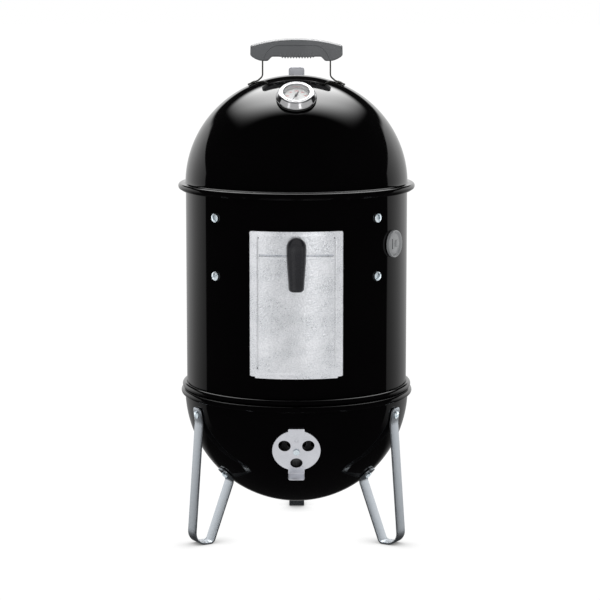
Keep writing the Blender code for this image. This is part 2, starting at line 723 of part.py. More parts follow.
def add_handle(lid_body):
    path = bracket_path()
    strap = prism(strip_outline(path, BRACKET_THICKNESS), -BRACKET_WIDTH / 2, BRACKET_WIDTH / 2)
    bracket = add_piece("handle_bracket", strap, "dark_steel", lid_body)
    grip_block = prism(grip_outline(), -HANDLE_DEPTH / 2, HANDLE_DEPTH / 2)
    grip = add_piece("handle_grip", grip_block, "nylon", lid_body)
    rounding = grip.modifiers.new("rounding", "BEVEL")
    rounding.width = 0.0035
    rounding.segments = 1
    rounding.limit_method = "ANGLE"
    rounding.angle_limit = math.radians(60)

    clearance = 0.0008
    buried = [p for p in path if p.y > HANDLE_BAR_Z - 0.001]
    mouths = [Vector((x, 0.7400)) for x in (-HANDLE_LEG_X, HANDLE_LEG_X)]
    channel_path = strip_outline([mouths[0], *buried, mouths[1]], BRACKET_THICKNESS + clearance)
    half = (BRACKET_WIDTH + clearance) / 2
    add_boolean(grip, add_helper("handle_grip_channel", prism(channel_path, -half, half)))

    head_holes = []
    shank_holes = []
    lid_holes = []
    bracket_holes = []
    down = Matrix.Rotation(math.radians(180), 4, "X")
    for number, side in enumerate((-1, 1), start=1):
        seat = Matrix.Translation((side * HANDLE_SCREW_X, 0, 0.7608)) @ down
        add_screw(f"handle_screw_{number}", seat, lid_body, 0.0038, 0.0026, 0.0019, 0.0135)
        head_holes.append((seat, 0.0044, -0.0003, 0.0100))
        shank_holes.append((seat, 0.0024, -0.0150, 0.0050))
        bracket_holes.append((seat, 0.0024, -0.0100, 0.0050))

        foot = dome_frame(LID, 90 * side, HANDLE_FOOT_ANGLE)
        foot_seat = shifted(foot, z=GAP + BRACKET_THICKNESS + 0.0003)
        add_screw(f"bracket_screw_{number}", foot_seat, lid_body, 0.0050, 0.0024, 0.0024, 0.0095)
        bracket_holes.append((foot, 0.0029, -0.0060, 0.0060))
        lid_holes.append((foot, 0.0029, -0.0060, 0.0060))
    drill(grip, head_holes)
    drill(grip, shank_holes)
    drill(bracket, bracket_holes)
    return lid_holes


def add_thermometer(lid_body):
    """A dial thermometer on the lid's front: gasket, bezel, dial, lens, stem, and a needle that turns."""
    spot = dome_frame(LID, 0, THERMOMETER_ANGLE)
    radius = THERMOMETER_RADIUS

    def seat_height(r):
        return math.sqrt((THERMOMETER_SPHERE + 0.0006) ** 2 - r**2) - THERMOMETER_SPHERE

    under = [(r, seat_height(r)) for r in (0.0120, 0.0220, radius + 0.0002)]
    gasket = under + [(radius + 0.0002, 0.0009), (0.0120, 0.0009)]
    add_piece("thermometer_gasket", lathe(gasket, 20), "gasket_rubber", lid_body, spot)

    bezel = [
        (0.0036, 0.0012),
        (radius, 0.0012),
        (radius, 0.0036),
        (0.0302, 0.0044),
        (0.0266, 0.0122),
        (0.0256, 0.0130),
        (0.0210, 0.0130),
        (0.0200, 0.0122),
        (0.0200, 0.0022),
        (0.0036, 0.0022),
    ]
    add_piece("thermometer_bezel", lathe(bezel, 20), "bezel_chrome", lid_body, spot)
    dial = [(0.0, 0.0025), (0.0196, 0.0025), (0.0196, 0.0066), (0.0, 0.0066)]
    add_piece("thermometer_dial", lathe(dial, 20), "dial_enamel", lid_body, spot)
    lens = [(0.0, 0.0100), (0.0196, 0.0100), (0.0196, 0.0112), (0.0, 0.0112)]
    add_piece("thermometer_lens", lathe(lens, 20), "lens_glass", lid_body, spot)
    stem = [(0.0, -0.0560), (0.0022, -0.0550), (0.0030, -0.0530), (0.0030, 0.0020), (0.0, 0.0020)]
    add_piece("thermometer_stem", lathe(stem, SMALL_TURNS), "zinc_steel", lid_body, spot)

    pivot = joint_empty("needle_turn", spot.translation, lid_body)
    half_blade = [(0.0016, 0.0), (0.0009, -0.0070)]
    left_blade = [(-x, y) for x, y in half_blade]
    blade = [(0.0, 0.0145)] + left_blade + [(0.0, -0.0095)] + half_blade[::-1]
    turned = spot @ Matrix.Rotation(math.radians(180 - NEEDLE_LEFT_OF_DOWN), 4, "Z")
    add_piece("thermometer_needle", prism(blade, 0.0072, 0.0079, "XY"), "needle_black", pivot, turned)
    return [(spot, 0.0040, -0.0100, 0.0060)]


def add_lid(middle_body):
    lid_body = joint_empty("lid_lift", (0, 0, LID_SKIRT_BOTTOM_Z), middle_body)
    lid = add_piece("lid", lathe(lid_profile(), SHELL_TURNS), "enamel", lid_body)
    holes = add_handle(lid_body) + add_thermometer(lid_body)
    holes += add_vent("lid_vent", LID, 180, LID_VENT_ANGLE, 1, lid_body)
    drill(lid, holes)


# ---------------------------------------------------------------- the smoker


def main():
    clear_scene()
    for name, (color, roughness, metallic) in MATERIALS.items():
        make_material(name, color, roughness, metallic)
    make_material("lens_glass", (0.90, 0.92, 0.92), 0.02, 0.0, alpha=0.25)

    bowl_body = add_bowl()
    add_fire_basket(bowl_body)
    middle_body = add_middle(bowl_body)
    add_door(middle_body)
    add_lid(middle_body)


main()
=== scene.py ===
"""Looks of a vertical water smoker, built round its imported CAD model.

Lengths are written in millimetres and turned into metres when a mesh is made. The smoker's axis is Z, its
front faces -Y. Azimuths are degrees from the front towards +X, dome angles are ellipse parameters.
"""
import json
import math

import bmesh
import bpy
from mathutils import Matrix, Vector, noise

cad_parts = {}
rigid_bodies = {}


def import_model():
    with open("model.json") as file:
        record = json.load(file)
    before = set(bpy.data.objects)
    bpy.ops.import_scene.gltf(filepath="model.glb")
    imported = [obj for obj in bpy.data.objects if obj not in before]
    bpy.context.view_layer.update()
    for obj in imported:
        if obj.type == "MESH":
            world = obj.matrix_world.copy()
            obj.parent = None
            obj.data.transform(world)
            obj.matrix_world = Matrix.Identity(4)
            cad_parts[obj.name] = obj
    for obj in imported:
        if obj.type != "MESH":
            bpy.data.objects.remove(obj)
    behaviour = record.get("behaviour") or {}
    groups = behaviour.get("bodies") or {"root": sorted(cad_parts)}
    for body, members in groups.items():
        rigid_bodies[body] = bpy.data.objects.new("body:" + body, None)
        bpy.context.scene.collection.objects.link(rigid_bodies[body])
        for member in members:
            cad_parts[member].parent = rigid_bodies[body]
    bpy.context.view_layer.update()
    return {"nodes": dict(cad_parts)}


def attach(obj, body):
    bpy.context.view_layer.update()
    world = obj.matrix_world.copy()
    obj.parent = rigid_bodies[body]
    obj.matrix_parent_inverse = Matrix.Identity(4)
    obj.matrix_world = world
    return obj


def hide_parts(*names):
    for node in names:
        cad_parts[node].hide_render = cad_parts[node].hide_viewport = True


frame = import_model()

MM = 0.001

# ---------------------------------------------------------------- mesh helpers


def make_object(name, verts, faces, material, place=None, sharp=35.0):
    """A mesh object in the row frame. verts are in millimetres, in the frame place if that is given."""
    bm = bmesh.new()
    made = [bm.verts.new(v) for v in verts]
    for face in faces:
        bm.faces.new([made[i] for i in face])
    return from_bmesh(name, bm, material, place, sharp)


def from_bmesh(name, bm, material, place=None, sharp=35.0):
    bmesh.ops.remove_doubles(bm, verts=bm.verts, dist=1e-4)
    bmesh.ops.recalc_face_normals(bm, faces=bm.faces)
    if place is not None:
        bmesh.ops.transform(bm, matrix=place, verts=bm.verts)
    bmesh.ops.scale(bm, vec=(MM, MM, MM), verts=bm.verts)
    mesh = bpy.data.meshes.new(name)
    bm.to_mesh(mesh)
    bm.free()
    mesh.materials.append(material)
    mesh.shade_smooth()
    mesh.set_sharp_from_angle(angle=math.radians(sharp))
    obj = bpy.data.objects.new(name, mesh)
    bpy.context.scene.collection.objects.link(obj)
    return obj


def bake_modifiers(obj, sharp=35.0):
    """Applies an object's modifiers to its mesh."""
    graph = bpy.context.evaluated_depsgraph_get()
    mesh = bpy.data.meshes.new_from_object(obj.evaluated_get(graph))
    obj.modifiers.clear()
    old = obj.data
    obj.data = mesh
    bpy.data.meshes.remove(old)
    mesh.name = obj.name
    mesh.shade_smooth()
    mesh.set_sharp_from_angle(angle=math.radians(sharp))


def carve(obj, cutter, operation="DIFFERENCE", sharp=35.0):
    modifier = obj.modifiers.new("carve", "BOOLEAN")
    modifier.operation = operation
    modifier.solver = "EXACT"
    modifier.object = cutter
    bake_modifiers(obj, sharp)
    bpy.data.objects.remove(cutter)


def keep(obj, body, stands_for=()):
    """Rides the piece on its body, and hides the CAD nodes it stands for."""
    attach(obj, body)
    if stands_for:
        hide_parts(*stands_for)
    return obj


def arc(center, radius, start, end, steps):
    turns = [math.radians(start + (end - start) * i / steps) for i in range(steps + 1)]
    return [(center[0] + radius * math.cos(a), center[1] + radius * math.sin(a)) for a in turns]


def dome_arc(dome, start, end, steps, inset=0.0):
    radius, height, z = dome
    radius -= inset
    height -= math.copysign(inset, height)
    turns = [math.radians(start + (end - start) * i / steps) for i in range(steps + 1)]
    return [(radius * math.cos(a), z + height * math.sin(a)) for a in turns]


def lathe(profile, turns):
    """(verts, faces) of an outline turned about Z. It is closed, or runs from the axis back to the axis."""
    verts = []
    rings = []
    for r, z in profile:
        if r < 1e-6:
            rings.append([len(verts)] * turns)
            verts.append((0.0, 0.0, z))
        else:
            rings.append(list(range(len(verts), len(verts) + turns)))
            angles = [math.tau * k / turns for k in range(turns)]
            verts += [(r * math.cos(a), r * math.sin(a), z) for a in angles]
    closed = not (profile[0][0] < 1e-6 and profile[-1][0] < 1e-6)
    pairs = list(zip(rings, rings[1:])) + ([(rings[-1], rings[0])] if closed else [])
    faces = []
    for low, high in pairs:
        for k in range(turns):
            corners = (low[k], low[(k + 1) % turns], high[(k + 1) % turns], high[k])
            face = list(dict.fromkeys(corners))
            if len(face) > 2:
                faces.append(face)
    return verts, faces


def rings_mesh(rings):
    """(verts, faces) of a skin over rings of equal size, with its two ends closed."""
    size = len(rings[0])
    verts = [p for ring in rings for p in ring]
    faces = []
    for i in range(len(rings) - 1):
        for k in range(size):
            a, b = i * size + k, i * size + (k + 1) % size
            faces.append((a, b, b + size, a + size))
    faces.append(tuple(range(size)))
    faces.append(tuple(range(len(verts) - size, len(verts))))
    return verts, faces


FILLET_STEPS = 8


def fillet(corners):
    """A smooth path. corners are (x, y, radius), with radius 0 at the ends."""
    points = []
    spots = [Vector(c[:2]) for c in corners]
    for i, corner in enumerate(corners):
        radius = corner[2]
        if radius == 0:
            points.append(spots[i])
            continue
        back = (spots[i - 1] - spots[i]).normalized()
        ahead = (spots[i + 1] - spots[i]).normalized()
        half = back.angle(ahead) / 2
        reach = radius / math.tan(half)
        center = spots[i] + (back + ahead).normalized() * (radius / math.sin(half))
        first = spots[i] + back * reach - center
        last = spots[i] + ahead * reach - center
        sweep = first.angle_signed(last)
        for k in range(FILLET_STEPS + 1):
            turn = -sweep * k / FILLET_STEPS
            points.append(center + Matrix.Rotation(turn, 2) @ first)
    return points


def resample(points, spacing):
    """Adds points along the straight stretches so that none is longer than spacing."""
    result = [points[0]]
    for here, there in zip(points, points[1:]):
        count = max(1, math.ceil((there - here).length / spacing))
        result += [here.lerp(there, k / count) for k in range(1, count + 1)]
    return result


def strip_rings(points, width, thickness, end_round, edge):
    """Rings of a flat bar along a path in a plane: (path x, across, path y), with rounded edges and ends."""
    lengths = [0.0]
    for here, there in zip(points, points[1:]):
        lengths.append(lengths[-1] + (there - here).length)
    total = lengths[-1]
    spots = []
    for start, direction in ((0.0, 1.0), (total, -1.0)):
        turned = []
        for k in range(8):
            phi = math.radians(90 * k / 8)
            s = start + direction * end_round * (1 - math.cos(phi))
            turned.append((s, width / 2 - end_round * (1 - math.sin(phi))))
        spots += turned
    inner = [(s, width / 2) for s in lengths if end_round <= s <= total - end_round]
    rings = []
    for s, half in sorted(spots + inner):
        i = max(k for k in range(len(lengths) - 1) if lengths[k] <= s + 1e-9)
        i = min(i, len(points) - 2)
        span = lengths[i + 1] - lengths[i]
        spot = points[i].lerp(points[i + 1], (s - lengths[i]) / span)
        before = points[max(i - 1, 0)]
        along = (points[min(i + 1, len(points) - 1)] - (before if abs(s - lengths[i]) < 1e-6 else points[i]))
        along.normalize()
        normal = Vector((-along.y, along.x))
        e = min(edge, thickness / 2, half * 0.5)
        outline = []
        for cx, cy, start in (
            (half - e, thickness / 2 - e, 0),
            (-half + e, thickness / 2 - e, 90),
            (-half + e, -thickness / 2 + e, 180),
            (half - e, -thickness / 2 + e, 270),
        ):
            outline += arc((cx, cy), e, start, start + 90, 3)
        rings.append([(spot.x + normal.x * t, w, spot.y + normal.y * t) for w, t in outline])
    return rings


def tube_rings(points, radius, sides):
    """Rings of a round rod along 3-D points, open at both ends."""
    rings = []
    for i, spot in enumerate(points):
        along = (points[min(i + 1, len(points) - 1)] - points[max(i - 1, 0)]).normalized()
        helper = Vector((0, 0, 1)) if abs(along.z) < 0.9 else Vector((1, 0, 0))
        side = along.cross(helper).normalized()
        up = side.cross(along)
        ring = []
        for k in range(sides):
            a = math.tau * k / sides
            ring.append(spot + side * radius * math.cos(a) + up * radius * math.sin(a))
        rings.append(ring)
    return rings


def merge(*parts):
    """Joins several (verts, faces)."""
    verts, faces = [], []
    for v, f in parts:
        shift = len(verts)
        verts += v
        faces += [tuple(i + shift for i in face) for face in f]
    return verts, faces


def box_part(low, high):
    bm = bmesh.new()
    size = Vector(high) - Vector(low)
    center = (Vector(high) + Vector(low)) / 2
    bmesh.ops.create_cube(bm, size=1.0, matrix=Matrix.Translation(center) @ Matrix.Diagonal((*size, 1.0)))
    verts = [v.co.copy() for v in bm.verts]
    faces = [tuple(v.index for v in f.verts) for f in bm.faces]
    bm.free()
    return verts, faces


def cylinder_part(place, radius, low, high, turns=48):
    verts, faces = lathe([(0, low), (radius, low), (radius, high), (0, high)], turns)
    return [place @ Vector(v) for v in verts], faces


def smoothstep(x, low, high):
    t = min(1.0, max(0.0, (x - low) / (high - low)))
    return t * t * (3 - 2 * t)


# ---------------------------------------------------------------- frames on the shells


def radial_frame(azimuth, radius=0.0, z=0.0):
    return Matrix.Rotation(math.radians(azimuth - 90), 4, "Z") @ Matrix.Translation((radius, 0, z))


def outward_frame(azimuth, radius, z):
    """On a cylinder: local +Z points outward, local +Y is up."""
    return radial_frame(azimuth, radius, z) @ Matrix(((0, 0, 1), (1, 0, 0), (0, 1, 0))).to_4x4()


def dome_frame(dome, azimuth, angle):
    """On a dome: local +Z is the outward normal, local +Y runs up the slope."""
    radius, height, z = dome
    a = math.radians(angle)
    normal = Vector((math.cos(a) / radius, 0, math.sin(a) / height)).normalized()
    uphill = Vector((-normal.z, 0, normal.x))
    local = Matrix((uphill.cross(normal), uphill, normal)).transposed().to_4x4()
    local.translation = Vector((radius * math.cos(a), 0, z + height * math.sin(a)))
    return radial_frame(azimuth) @ local


def shifted(place, x=0.0, y=0.0, z=0.0):
    return place @ Matrix.Translation((x, y, z))


# ---------------------------------------------------------------- dimensions from the CAD

BOWL = (177.0, -180.0, 232.6)
LID = (174.5, 169.0, 560.0)
WALL = 1.5
BODY = 174.0
SEAT_R = 174.3
GAP = 0.4
LEGS = {"leg_front_left": -60, "leg_front_right": 60, "leg_rear": 180}
BOWL_VENTS = {"bowl_vent_front": 0, "bowl_vent_rear_left": -120, "bowl_vent_rear_right": 120}
BOWL_VENT_ANGLE = 22.3
LID_VENT_ANGLE = 57.0
VENT_HOLES = (30, 150, 270)
VENT_DOME_R = 178.0
STRAP_AZIMUTHS = (45, 135, 225, 315)
DOOR_R = 176.7
PIVOT_Z = 480.0

# ---------------------------------------------------------------- node material helpers


class Graph:
    """Short calls for building a node tree."""

    def __init__(self, tree):
        self.tree = tree

    def node(self, kind, **settings):
        made = self.tree.nodes.new(kind)
        for key, value in settings.items():
            setattr(made, key, value)
        return made

    def put(self, value, socket):
        if isinstance(value, bpy.types.NodeSocket):
            self.tree.links.new(value, socket)
        else:
            socket.default_value = value

    def math(self, operation, a, b=0.0, c=0.0):
        made = self.node("ShaderNodeMath", operation=operation)
        for value, socket in zip((a, b, c), made.inputs):
            self.put(value, socket)
        return made.outputs[0]

    def ramp(self, x, low, high, at_low=0.0, at_high=1.0, kind="SMOOTHSTEP"):
        made = self.node("ShaderNodeMapRange", interpolation_type=kind)
        names = ("Value", "From Min", "From Max", "To Min", "To Max")
        for value, name in zip((x, low, high, at_low, at_high), names):
            self.put(value, made.inputs[name])
        return made.outputs["Result"]

    def spots(self, stretch=(1, 1, 1), turn=(0, 0, 0)):
        """Object coordinates, stretched and turned."""
        place = self.node("ShaderNodeTexCoord").outputs["Object"]
        mapping = self.node("ShaderNodeMapping")
        mapping.inputs["Scale"].default_value = stretch
        mapping.inputs["Rotation"].default_value = turn
        self.tree.links.new(place, mapping.inputs["Vector"])
        return mapping.outputs[0]

    def noise(self, scale, detail=3.0, roughness=0.5, place=None):
        made = self.node("ShaderNodeTexNoise")
        made.inputs["Scale"].default_value = scale
        made.inputs["Detail"].default_value = detail
        made.inputs["Roughness"].default_value = roughness
        self.put(self.spots() if place is None else place, made.inputs["Vector"])
        return made.outputs["Fac"]

    def mix(self, factor, a, b):
        """Blends two RGB colours."""
        made = self.node("ShaderNodeMix", data_type="RGBA")
        self.put(factor, made.inputs[0])
        for value, socket in ((a, made.inputs[6]), (b, made.inputs[7])):
            self.put((*value, 1.0) if isinstance(value, tuple) else value, socket)
        return made.outputs[2]

    def bump(self, height, distance, strength=1.0):
        made = self.node("ShaderNodeBump")
        made.inputs["Strength"].default_value = strength
        made.inputs["Distance"].default_value = distance
        self.put(height, made.inputs["Height"])
        return made.outputs[0]


def new_material(name):
    material = bpy.data.materials.new(name)
    material.use_nodes = True
    shader = material.node_tree.nodes["Principled BSDF"]
    return material, Graph(material.node_tree), shader.inputs


def metal_material(name, dark, light, rough, grain=900.0, stretch=(1, 1, 1), depth=0.00002):
    """A metal whose colour and gloss vary with a fine grain and with soft clouds."""
    material, g, shader = new_material(name)
    shader["Metallic"].default_value = 1.0
    clouds = g.noise(28.0, 4.0, 0.6)
    fine = g.noise(grain, 2.0, 0.6, g.spots(stretch))
    tone = g.math("MULTIPLY_ADD", fine, 0.5, g.math("MULTIPLY", clouds, 0.5))
    g.put(g.mix(g.ramp(tone, 0.3, 0.7), dark, light), shader["Base Color"])
    g.put(g.ramp(tone, 0.25, 0.75, rough - 0.06, rough + 0.08), shader["Roughness"])
    g.put(g.bump(fine, depth), shader["Normal"])
    return material


def plastic_material(name, dark, light, rough, grain, depth, specular=0.5):
    """A moulded plastic or rubber with a fine pebbled skin."""
    material, g, shader = new_material(name)
    shader["Specular IOR Level"].default_value = specular
    clouds = g.noise(22.0, 3.0)
    pebble = g.noise(grain, 2.0, 0.7)
    g.put(g.mix(g.ramp(clouds, 0.3, 0.7), dark, light), shader["Base Color"])
    g.put(g.ramp(pebble, 0.2, 0.8, rough - 0.06, rough + 0.06), shader["Roughness"])
    g.put(g.bump(pebble, depth), shader["Normal"])
    return material


def enamel_material():
    material, g, shader = new_material("gloss_enamel")
    clouds = g.noise(9.0, 3.0)
    peel = g.noise(160.0, 2.0, 0.4)
    g.put(g.mix(clouds, (0.0004, 0.0003, 0.0004), (0.0008, 0.0007, 0.0008)), shader["Base Color"])
    g.put(g.ramp(clouds, 0.3, 0.7, 0.035, 0.07), shader["Roughness"])
    shader["IOR"].default_value = 1.5
    g.put(g.bump(peel, 0.00002, 0.25), shader["Normal"])
    return material


ENAMEL = enamel_material()
STRAP_METAL = metal_material(
    "satin_strap", (0.32, 0.35, 0.38), (0.44, 0.47, 0.50), 0.36, 1400.0, (1, 1, 0.15), 0.00001
)
VENT_METAL = metal_material(
    "satin_disc", (0.58, 0.59, 0.63), (0.70, 0.71, 0.75), 0.38, 1500.0, (0.3, 1, 1), 0.00001
)
DOOR_METAL = metal_material(
    "embossed_door", (0.64, 0.66, 0.69), (0.90, 0.91, 0.94), 0.30, 460.0, (1, 0.6, 1.3), 0.00018
)
ZINC = metal_material(
    "bright_zinc", (0.52, 0.62, 0.68), (0.82, 0.88, 0.92), 0.24, 700.0, (1, 1, 1), 0.00004
)
WIRE = metal_material(
    "plated_rod", (0.52, 0.52, 0.52), (0.70, 0.70, 0.70), 0.22, 900.0, (1, 1, 1), 0.00002
)
BARE_STEEL = metal_material(
    "mill_steel", (0.12, 0.12, 0.125), (0.22, 0.22, 0.225), 0.42, 500.0, (1, 1, 0.2), 0.00004
)
DARK_STEEL = metal_material(
    "black_steel", (0.030, 0.030, 0.026), (0.060, 0.060, 0.052), 0.34, 900.0, (1, 1, 1), 0.00002
)
CHROME = metal_material(
    "polished_chrome", (0.50, 0.50, 0.51), (0.58, 0.58, 0.59), 0.10, 600.0, (1, 1, 1), 0.000004
)
GRIP = plastic_material(
    "grip_nylon", (0.066, 0.069, 0.073), (0.078, 0.081, 0.085), 0.24, 1500.0, 0.00001, 0.6
)
LEVER = plastic_material(
    "lever_nylon", (0.007, 0.007, 0.009), (0.011, 0.011, 0.013), 0.28, 1300.0, 0.00003, 0.3
)
SILICONE = plastic_material(
    "grommet_silicone", (0.15, 0.155, 0.16), (0.20, 0.205, 0.21), 0.40, 900.0, 0.00004
)
RUBBER = plastic_material(
    "gasket_rubber", (0.006, 0.006, 0.006), (0.012, 0.012, 0.012), 0.6, 900.0, 0.00004
)
DIAL = plastic_material(
    "dial_white", (0.90, 0.91, 0.90), (0.96, 0.97, 0.96), 0.42, 1800.0, 0.00001
)
RED_INK = plastic_material(
    "dial_red", (0.62, 0.045, 0.060), (0.75, 0.07, 0.08), 0.45, 1800.0, 0.00001
)
BLACK_INK = plastic_material(
    "needle_paint", (0.004, 0.004, 0.004), (0.010, 0.009, 0.008), 0.35, 1800.0, 0.00001
)


def lens_material():
    material, g, shader = new_material("lens_clear")
    smudge = g.noise(120.0, 3.0)
    g.put(g.ramp(smudge, 0.3, 0.7, 0.02, 0.05), shader["Roughness"])
    shader["Base Color"].default_value = (0.02, 0.025, 0.03, 1.0)
    facing = g.node("ShaderNodeLayerWeight")
    facing.inputs["Blend"].default_value = 0.35
    g.put(g.ramp(facing.outputs["Facing"], 0.0, 1.0, 0.03, 0.20, "LINEAR"), shader["Alpha"])
    return material


LENS = lens_material()

# ---------------------------------------------------------------- enamelled shells


def lid_profile():
    inner = dome_arc(LID, 90, 2, 64, WALL)
    skirt = [(173.0, 559.5), (183.7, 559.5), (183.7, 553.0)]
    lip = [(182.8 + 3.0 * x, 557.0 + 4.6 * z) for x, z in arc((0, 0), 1.0, -69, -4, 14)]
    shoulder = [(181.6 + 4.2 * x, 557.0 + 4.5 * z) for x, z in arc((0, 0), 1.0, 0, 90, 20)]
    root = [(177.6, 561.5), (176.2, 561.9), (175.2, 562.9), (174.6, 564.6)]
    return inner + skirt + lip + shoulder + root + dome_arc(LID, 2.4, 90, 96)


def middle_profile():
    low = [(172.5, 228.4), (172.9, 228.0), (173.6, 228.0), (BODY, 228.4)]
    lower_bead = arc((176.5, 242.1), 4.5, -123.7, 123.7, 28)
    upper_bead = arc((178.5, 554.5), 4.5, -150, 90, 28)
    return low + lower_bead + [(BODY, 551.5)] + upper_bead + [(173.5, 559.0), (172.5, 558.0)]


def bowl_profile():
    outer = dome_arc(BOWL, 90, 3, 96)
    rim = arc((177.5, 231.7), 5.5, -95, 111.3, 32)
    inner = dome_arc(BOWL, 0, 90, 64, WALL)
    return outer + rim + inner


def pan_profile():
    rim_z, floor_z = 401.3, 315.5
    outer = [(0.0, floor_z)] + arc((114.0, floor_z + 14.0), 14.0, -90, -18.3, 12)
    rim = [(151.9, rim_z - 1.0), (153.0, rim_z), (161.2, rim_z)]
    rim += arc((161.2, rim_z + 0.75), 0.75, -90, 90, 6)
    inner = [(151.6, rim_z + 1.5), (150.8, rim_z - 0.4)]
    inner += arc((114.0, floor_z + 14.0), 12.8, -18.3, -90, 12)
    return outer + rim + inner + [(0.0, floor_z + 1.2)]


def vent_cutters(place):
    """Cutters for a damper's rivet bore and its three holes."""
    parts = [cylinder_part(place, 3.6, -12, 12, 32)]
    for angle in VENT_HOLES:
        x, y = 21 * math.cos(math.radians(angle)), 21 * math.sin(math.radians(angle))
        parts.append(cylinder_part(shifted(place, x, y), 9.5, -12, 12))
    return make_object("cutter", *merge(*parts), ENAMEL)


def door_cutter():
    outline = []
    for cx, cz, start in ((54.5, 486.5, 0), (-54.5, 486.5, 90), (-54.5, 296, 180), (54.5, 296, 270)):
        outline += arc((cx, cz), 6, start, start + 90, 8)
    rings = [[(x, y, z) for x, z in outline] for y in (-200, -150)]
    return make_object("cutter", *rings_mesh(rings), ENAMEL)


SHELL_TURNS = 256

lid = make_object("lid_shell", *lathe(lid_profile(), SHELL_TURNS), ENAMEL)
carve(lid, vent_cutters(dome_frame(LID, 180, LID_VENT_ANGLE)))
keep(lid, "lid", ["lid"])

middle = make_object("middle_shell", *lathe(middle_profile(), SHELL_TURNS), ENAMEL)
carve(middle, door_cutter())
probe_place = outward_frame(58.5, SEAT_R, 475)
carve(middle, make_object("cutter", *cylinder_part(probe_place, 17.2, -9, 6), ENAMEL))
keep(middle, "middle", ["middle_section"])

bowl = make_object("bowl_shell", *lathe(bowl_profile(), SHELL_TURNS), ENAMEL)
for azimuth in BOWL_VENTS.values():
    carve(bowl, vent_cutters(dome_frame(BOWL, azimuth, BOWL_VENT_ANGLE)))
keep(bowl, "bowl", ["charcoal_bowl"])

pan = make_object("water_pan_shell", *lathe(pan_profile(), 160), ENAMEL)
keep(pan, "water_pan", ["water_pan"])

# ---------------------------------------------------------------- screws and rivets


def domed_head(radius, height, shank, length, crown=0.62):
    """The outline of a pan-head screw or rivet, seated on z = 0."""
    side = crown * height
    turns = [math.radians(9 * k) for k in range(10)]
    top = [(radius * math.cos(a), side + (height - side) * math.sin(a)) for a in turns]
    low = [(0.0, -length), (shank - 0.3, -length), (shank, 0.3 - length)]
    low += [(shank, 0.0), (radius - 0.2, 0.0), (radius, 0.25)]
    return low + top + [(0.0, height)]


def add_screw(name, place, body, node, radius, height, shank, length, slot_turn=None):
    crown = 0.62 if slot_turn is None else 0.45
    obj = make_object(name, *lathe(domed_head(radius, height, shank, length, crown), 40), ZINC, place)
    if slot_turn is not None:
        cut = box_part((-radius * 1.2, -0.75, height * 0.5), (radius * 1.2, 0.75, height * 1.6))
        turned = place @ Matrix.Rotation(math.radians(slot_turn), 4, "Z")
        carve(obj, make_object("cutter", *cut, ZINC, turned))
    return keep(obj, body, [node])


SLOT_TURNS = (40, 100, -35, 15, 70, -60, 25, 130)
LEG_BOLT_ANGLES = (8.3, 44.3)
for number, azimuth in enumerate(LEGS.values()):
    for step, angle in enumerate(LEG_BOLT_ANGLES):
        index = 2 * number + step + 1
        seat = shifted(dome_frame(BOWL, azimuth, angle), z=3.7)
        turn = SLOT_TURNS[index]
        add_screw(f"leg_bolt_{index}", seat, "bowl", f"leg_screw_{index}", 6.0, 3.2, 2.9, 10.5, turn)

for number, azimuth in enumerate(STRAP_AZIMUTHS):
    for step, z in enumerate((429.0, 518.3)):
        index = 2 * number + step + 1
        seat = outward_frame(azimuth, SEAT_R, z)
        turn = SLOT_TURNS[index - 1]
        add_screw(f"strap_bolt_{index}", seat, "middle", f"strap_screw_{index}", 7.0, 3.6, 2.8, 6.8, turn)

# ---------------------------------------------------------------- legs


def strip_object(name, corners, width, thickness, end_round, material, place, edge=0.8):
    path = resample(fillet(corners), 6.0)
    rings = strip_rings(path, width, thickness, end_round, edge)
    return make_object(name, *rings_mesh(rings), material, place, 40)


def leg_corners():
    pads = []
    for angle in LEG_BOLT_ANGLES:
        place = shifted(dome_frame(BOWL, 90, angle), z=GAP + 1.5)
        uphill = place.to_3x3().col[1]
        pads.append((Vector((place.translation.x, place.translation.z)), Vector((uphill.x, uphill.z))))
    (upper, up), (lower, low) = pads
    ends = [upper + up * 11.5, upper - up * 13.5, lower - low * 10.5, lower + low * 13.5]
    return [(*ends[0], 0), (*ends[1], 30), (189.9, 1.5, 18), (157.4, 1.5, 8), (*ends[2], 9), (*ends[3], 0)]


for name, azimuth in LEGS.items():
    leg = strip_object(f"{name}_strap", leg_corners(), 25.0, 3.0, 8.0, STRAP_METAL, radial_frame(azimuth))
    keep(leg, "bowl", [name])

# ---------------------------------------------------------------- dampers


